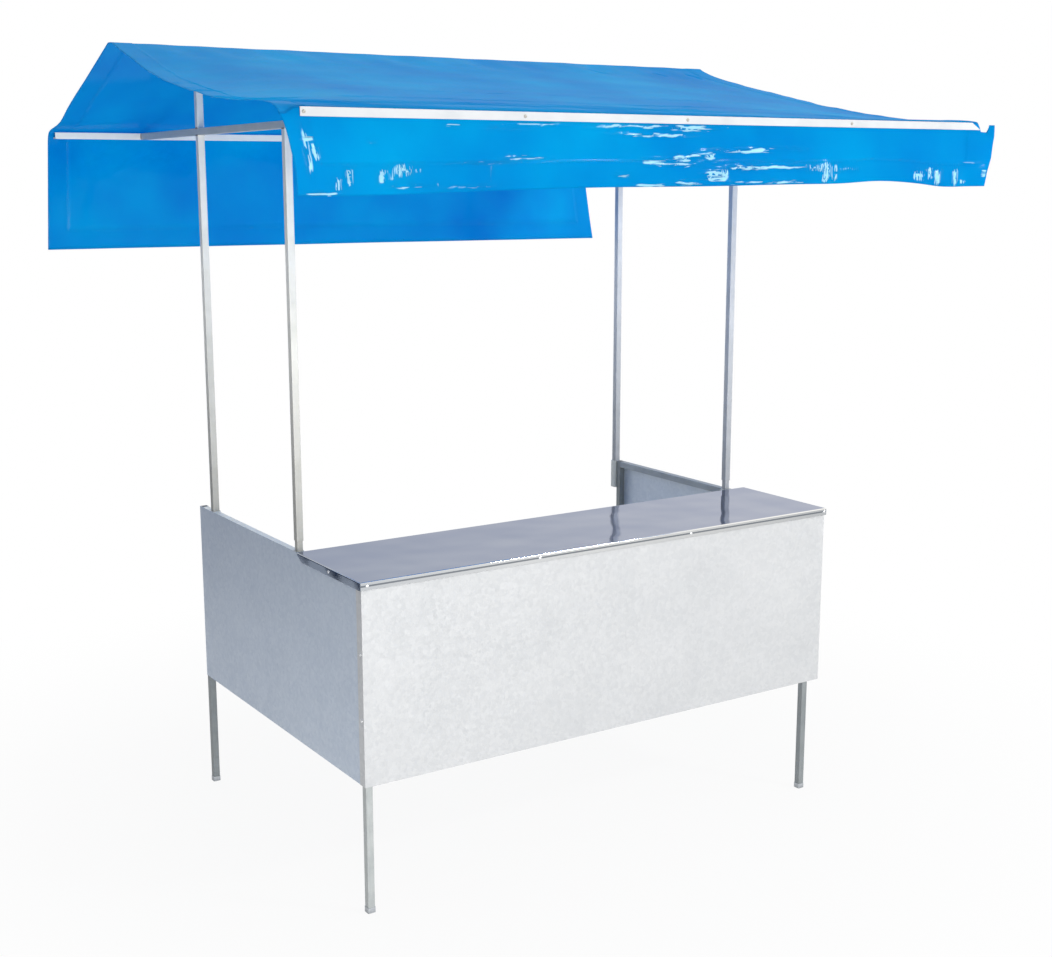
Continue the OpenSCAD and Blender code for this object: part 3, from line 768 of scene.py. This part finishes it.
def tarp_shape(w, s):
    """The outer face at width w from the middle and length s from the front hem.

    The rounded section, drawn in or out to the two side edges, sagging in a parabola on
    each slope and by the edges' own curves at the ends, hanging in slow waves on each
    valance, and raised by one cloth thickness along the hems and a little at the creases.
    Returns the points, the level and the upright creases and the distance to the edge.
    """
    past_end = smooth_step(np.abs(w), bar_end - 0.02, bar_end + 0.015)
    near_front = bell(s, front_bend, 0.09)
    near_back = bell(s, back_bend, 0.09)
    rounding = 0.003 + past_end * (0.020 * near_front + 0.030 * near_back)
    y, z = along_section(s, rounding)
    to_left = smooth_step(-w, 0.45, half_width)
    to_right = smooth_step(w, 0.45, half_width)
    x = (w + to_left * (np.interp(s, left_at, left_edge) + half_width)
         + to_right * (np.interp(s, right_at, right_edge) - half_width)
         + smooth_step(w, 0.965, half_width) * np.interp(s, tab_at, tab_out))

    # slopes: a parabola of sag, the edges' own sag, and slow ripples along the ridge
    up_front = np.clip((s - front_bend) / (ridge_bend - front_bend), 0, 1)
    down_back = np.clip((s - ridge_behind) / (back_bend - ridge_behind), 0, 1)
    hollow = 4 * up_front * (1 - up_front)
    hollow_back = 4 * down_back * (1 - down_back)
    by_left = smooth_step(-w, 0.70, 1.0)
    by_right = smooth_step(w, 0.45, 1.0)
    z = z - (1 - by_left - by_right) * front_hollow * hollow
    z = z - by_left * through(up_front, edge_up, edge_sag)
    z = z - by_right * right_hollow * hollow ** 0.6 * smooth_step(up_front, 0, 0.15)
    z = z - (1 - by_left) * back_hollow * hollow_back
    z = z - by_left * through(down_back, edge_down, edge_sag_back)
    ripple = waves(s + 0.02 * np.sin(3.1 * w), (0.31, 0.17, 0.083), (0.3, 1.9, 0.8))
    z = z + 0.0006 * hollow * ripple
    from_ridge = waves(w + 0.05 * s, (0.41, 0.23, 0.137), (0.9, 0.2, 2.2))
    z = z + 0.0016 * from_ridge * bell(s, ridge_bend - 0.09, 0.07)

    # front valance: free below the batten, leaning out a little, wavy at its hem
    drop = np.clip((front_bend - s) / front_bend, 0, 1)
    free = smooth_step(drop, 0.10, 1.0)
    y = y - free * (0.003 + 0.004 * np.sin(9.5 * w + 0.4) + 0.001 * np.sin(23 * w + 1.7))
    y = y - free * corner_lean * smooth_step(w, 0.97, half_width)
    z = z + drop * through(w, hem_along, hem_rise)
    # past the eave bar's ends the cloth drops, and at the right the stiff tab stands up
    turn = bell(s, front_bend, 0.028)
    z = z - turn * left_drop * smooth_step(-w, 1.0, 1.025)
    z = z - turn * right_drop * smooth_step(w, 0.998, 1.003)
    past_bar = (smooth_step(w, 0.998, 1.010)
                * smooth_step(s, front_bend - 0.002, front_bend + 0.018))
    z = z - past_bar * right_droop * (1 - smooth_step(up_front, 0.05, 0.65))
    z = z + tab_height * smooth_step(w, 1.015, 1.018) * bell(s, front_bend - 0.016, 0.014)

    # back valance: slow waves that grow towards its hem
    drop = np.clip((s - back_bend) / (cloth_length - back_bend), 0, 1)
    free = smooth_step(drop, 0.04, 1.0)
    y = y + free * (0.004 + 0.003 * waves(w, (1.31, 0.72, 0.43), (2.1, 0.5, 1.1)))
    z = z - drop * back_fall * (w / cloth_width + 0.5)

    # the way out of the cloth, from the section's own direction
    ahead_y, ahead_z = along_section(s + 0.002, rounding)
    behind_y, behind_z = along_section(s - 0.002, rounding)
    long = np.hypot(ahead_y - behind_y, ahead_z - behind_z)
    out_y = -(ahead_z - behind_z) / long
    out_z = (ahead_y - behind_y) / long

    # hems, turned over on the outer face
    from_edge = np.minimum(np.minimum(s, cloth_length - s), half_width - np.abs(w))
    level = crease_patch(w, s, level_creases)
    upright = crease_patch(w, s, upright_creases)
    rise = hem_step * smooth_step(hem_width - from_edge, 0, hem_edge)
    rise = rise + crease_height * (level + upright)
    y = y + out_y * rise
    z = z + out_z * rise
    return np.stack([x, y, z], axis=-1), level, upright, from_edge


def steps_between(marks):
    """Positions through the marks, each (end, spacing) giving the next stretch's spacing."""
    places = [np.array([marks[0][0]])]
    for (start, _), (end, gap) in zip(marks[:-1], marks[1:]):
        places.append(np.linspace(start, end, max(2, round((end - start) / gap) + 1))[1:])
    return np.concatenate(places)


across_marks = [(-half_width, 0), (-half_width + hem_width - hem_edge, 0.006),
                (-half_width + hem_width, hem_edge), (half_width - hem_width, 0.009),
                (half_width - hem_width + hem_edge, hem_edge), (half_width - 0.036, 0.006),
                (half_width, 0.003)]
along_marks = [(0, 0), (hem_width - hem_edge, 0.0042), (hem_width, hem_edge),
               (front_bend - 0.012, 0.0045), (front_bend + 0.010, 0.0022),
               (front_bend + 0.10, 0.010), (ridge_bend - 0.2, 0.030), (ridge_bend - 0.008, 0.016),
               (ridge_behind + 0.008, 0.0035), (back_bend - 0.05, 0.030),
               (back_bend - 0.010, 0.010), (back_bend + 0.012, 0.0028),
               (cloth_length - hem_width, 0.016),
               (cloth_length - hem_width + hem_edge, hem_edge), (cloth_length, 0.012)]
w_line = steps_between(across_marks)
s_line = steps_between(along_marks)
w_grid, s_grid = np.meshgrid(w_line, s_line)
cloth_points, level, upright, from_edge = tarp_shape(w_grid, s_grid)

tarp_mesh = bpy.data.meshes.new("tarp")
tarp_quads = grid_quads(len(s_line), len(w_line))
tarp_mesh.from_pydata(cloth_points.reshape(-1, 3).tolist(), [], tarp_quads.tolist())
tarp_mesh.polygons.foreach_set("use_smooth", np.ones(len(tarp_quads), bool))
uv_values = np.stack([w_grid.ravel(), s_grid.ravel()], axis=1)[tarp_quads.ravel()]
tarp_mesh.uv_layers.new(name="cloth").data.foreach_set("uv", uv_values.ravel())
for name, values in (("level_creases", level), ("upright_creases", upright),
                     ("from_edge", from_edge)):
    tarp_mesh.attributes.new(name, "FLOAT", "POINT").data.foreach_set(
        "value", values.astype(np.float32).ravel())
tarp = bpy.data.objects.new("tarp", tarp_mesh)
scene.collection.objects.link(tarp)
solid = tarp.modifiers.new("cloth_thickness", "SOLIDIFY")
solid.thickness = cloth_thick
solid.offset = -1.0

# PVC-coated cloth: a woven scrim under smooth coloured plastic. The eye sees a wet
# shine, pale lines with sharp glints along the creases, their pale colour partly film whitened by
# folding and partly painted glints, a faint weave, shallow rumples, darker doubled hems with a
# knurled weld line, and slopes painted paler as painted sheen.
# The real threads are 1 mm apart, too fine to show, so the weave is drawn at 3 mm.
weave_mm = 3
rumple_mm = 110
knurl_mm = 6
crack_mm = 5.5
crazing_mm = 9
tint_mm = 340
pvc, tree = new_material("pvc_coated_tarp")
cloth = add_node(tree, "ShaderNodeUVMap", uv_map="cloth").outputs[0]
along = add_node(tree, "ShaderNodeSeparateXYZ", None, {0: cloth}).outputs["Y"]
edge = add_node(tree, "ShaderNodeAttribute", attribute_name="from_edge").outputs["Fac"]
tint = add_node(tree, "ShaderNodeTexNoise", {"Scale": 1000 / tint_mm, "Detail": 3.0},
                {"Vector": cloth})
blue = add_node(tree, "ShaderNodeValToRGB", None, {0: tint.outputs["Fac"]})
for stop, share, colour in zip(blue.color_ramp.elements, (0.32, 0.68), ("#008DC4", "#00A8D2")):
    stop.position, stop.color = share, paint(colour)
in_hem = add_node(tree, "ShaderNodeMapRange", {"From Min": hem_width - hem_edge,
                                               "From Max": hem_width, "To Min": 0.15,
                                               "To Max": 0.0}, {"Value": edge}).outputs[0]

# Cracked lines, long and thin along each crease, and solid where the crease is sharp
crazing = add_node(tree, "ShaderNodeTexNoise", {"Scale": 1000 / crazing_mm, "Detail": 2.0},
                   {"Vector": cloth})
crackle = add_node(tree, "ShaderNodeMapRange", {"From Min": 0.43, "From Max": 0.53,
                                                "To Min": 0.15}, {"Value": crazing.outputs["Fac"]})
cracks = None
for name, scale in (("level_creases", (1000 / 90, 1000 / crack_mm, 1)),
                    ("upright_creases", (1000 / crack_mm, 1000 / 40, 1))):
    creased = add_node(tree, "ShaderNodeAttribute", attribute_name=name).outputs["Fac"]
    drawn = add_node(tree, "ShaderNodeMapping", {"Scale": scale}, {"Vector": cloth})
    lines = add_node(tree, "ShaderNodeTexNoise", {"Scale": 1.0, "Detail": 2.0, "Distortion": 0.5},
                     {"Vector": drawn.outputs[0]})
    lines = add_node(tree, "ShaderNodeMapRange", {"From Min": 0.46, "From Max": 0.54,
                                                  "To Min": 0.05, "To Max": 1.4},
                     {"Value": lines.outputs["Fac"]})
    lines = add_node(tree, "ShaderNodeMath", None, {0: lines.outputs[0], 1: creased},
                     operation="MULTIPLY").outputs[0]
    core = add_node(tree, "ShaderNodeMapRange", {"From Min": 0.62, "From Max": 0.95},
                    {"Value": creased}).outputs[0]
    core = add_node(tree, "ShaderNodeMath", None, {0: core, 1: crackle.outputs[0]},
                    operation="MULTIPLY").outputs[0]
    lines = add_node(tree, "ShaderNodeMath", None, {0: lines, 1: core},
                     operation="MAXIMUM").outputs[0]
    cracks = lines if cracks is None else add_node(
        tree, "ShaderNodeMath", None, {0: cracks, 1: lines}, operation="MAXIMUM").outputs[0]
# The pale crease colour: partly film whitened by folding, partly painted glints
whitened_and_painted_glint = add_node(tree, "ShaderNodeMapRange", {"From Min": 0.50, "From Max": 0.82,
                                                 "To Max": 0.95}, {"Value": cracks}).outputs[0]
colour = blue.outputs[0]
for share, tone in ((in_hem, "#008CC2"), (whitened_and_painted_glint, "#C4F4FF")):
    colour = add_node(tree, "ShaderNodeMix", {"B": paint(tone)}, {"Factor": share, "A": colour},
                      data_type="RGBA").outputs["Result"]

# The slopes are painted paler, as painted sheen, and a dark line is painted in the bend above the
# batten as painted shade
for middle, half, share, tone in (
        ((front_bend + back_bend) / 2, (back_bend - front_bend) / 2, 0.35, "#2AAED2"),
        (front_bend + 0.001, 0.004, 0.5, "#0A5A8C")):
    band = add_node(tree, "ShaderNodeMath", {1: middle, 2: half}, {0: along}, operation="COMPARE")
    band = add_node(tree, "ShaderNodeMath", {1: share}, {0: band.outputs[0]}, operation="MULTIPLY")
    colour = add_node(tree, "ShaderNodeMix", {"B": paint(tone)},
                      {"Factor": band.outputs[0], "A": colour}, data_type="RGBA").outputs["Result"]

rumple = add_node(tree, "ShaderNodeTexNoise", {"Scale": 1000 / rumple_mm, "Detail": 2.0},
                  {"Vector": cloth})
rumple_bump = add_node(tree, "ShaderNodeBump", {"Strength": 1.0, "Distance": 0.0015},
                       {"Height": rumple.outputs["Fac"]})
crack_bump = add_node(tree, "ShaderNodeBump", {"Strength": 1.0, "Distance": 0.0025},
                      {"Height": cracks, "Normal": rumple_bump.outputs[0]})
seam = add_node(tree, "ShaderNodeMath", {1: hem_width - 0.004, 2: 0.003}, {0: edge},
                operation="COMPARE")
knurl = add_node(tree, "ShaderNodeTexVoronoi", {"Scale": 1000 / knurl_mm}, {"Vector": cloth})
knurl = add_node(tree, "ShaderNodeMath", None, {0: knurl.outputs["Distance"],
                                                1: seam.outputs[0]}, operation="MULTIPLY")
knurl_bump = add_node(tree, "ShaderNodeBump", {"Strength": 1.0, "Distance": 0.0012},
                      {"Height": knurl.outputs[0], "Normal": crack_bump.outputs[0]})
threads, cross_threads = (
    add_node(tree, "ShaderNodeTexWave", {"Scale": 1000 / weave_mm / 20}, {"Vector": cloth},
             bands_direction=way).outputs["Fac"] for way in "XY")
weave = add_node(tree, "ShaderNodeMath", None, {0: threads, 1: cross_threads},
                 operation="MAXIMUM")
weave_bump = add_node(tree, "ShaderNodeBump", {"Strength": 0.08, "Distance": 0.0003},
                      {"Height": weave.outputs[0], "Normal": knurl_bump.outputs[0]})
film = add_node(tree, "ShaderNodeMapRange", {"To Min": 0.10, "To Max": 0.6}, {"Value": cracks})
on_slope = add_node(tree, "ShaderNodeMapRange", {"From Min": front_bend, "To Max": 0.12,
                                                 "From Max": front_bend + 0.05}, {"Value": along})
film = add_node(tree, "ShaderNodeMath", None, {0: film.outputs[0], 1: on_slope.outputs[0]},
                operation="ADD")
coated = add_node(tree, "ShaderNodeBsdfPrincipled",
                  {"Roughness": 0.45, "Specular IOR Level": 0.0, "Coat Roughness": 0.08},
                  {"Base Color": colour, "Coat Weight": film.outputs[0],
                   "Normal": weave_bump.outputs[0], "Coat Normal": knurl_bump.outputs[0]})

# Daylight comes through the cloth, brighter than its own blue and mottled with it
mottled = add_node(tree, "ShaderNodeMapRange", {"From Min": 0.30, "From Max": 0.70},
                   {"Value": tint.outputs["Fac"]})
daylight = add_node(tree, "ShaderNodeMix", {"A": paint("#00AEF8"), "B": paint("#00CEFF")},
                    {"Factor": mottled.outputs[0]}, data_type="RGBA").outputs["Result"]
# The pale crease colour, partly painted glints, also tints the light through the cloth
for share, tone in ((in_hem, "#00B0F4"), (whitened_and_painted_glint, "#C4F4FF")):
    daylight = add_node(tree, "ShaderNodeMix", {"B": paint(tone)},
                        {"Factor": share, "A": daylight}, data_type="RGBA").outputs["Result"]
through_cloth = add_node(tree, "ShaderNodeBsdfTranslucent", None, {"Color": daylight})
lets_through = add_node(tree, "ShaderNodeMixShader", {0: 0.5},
                        {1: coated.outputs[0], 2: through_cloth.outputs[0]})
add_node(tree, "ShaderNodeOutputMaterial", None, {"Surface": lets_through.outputs[0]})
tarp_mesh.materials.append(pvc)
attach(tarp, "root")
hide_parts("tarp_front_slope", "tarp_back_slope", "tarp_front_valance",
            "tarp_back_valance")
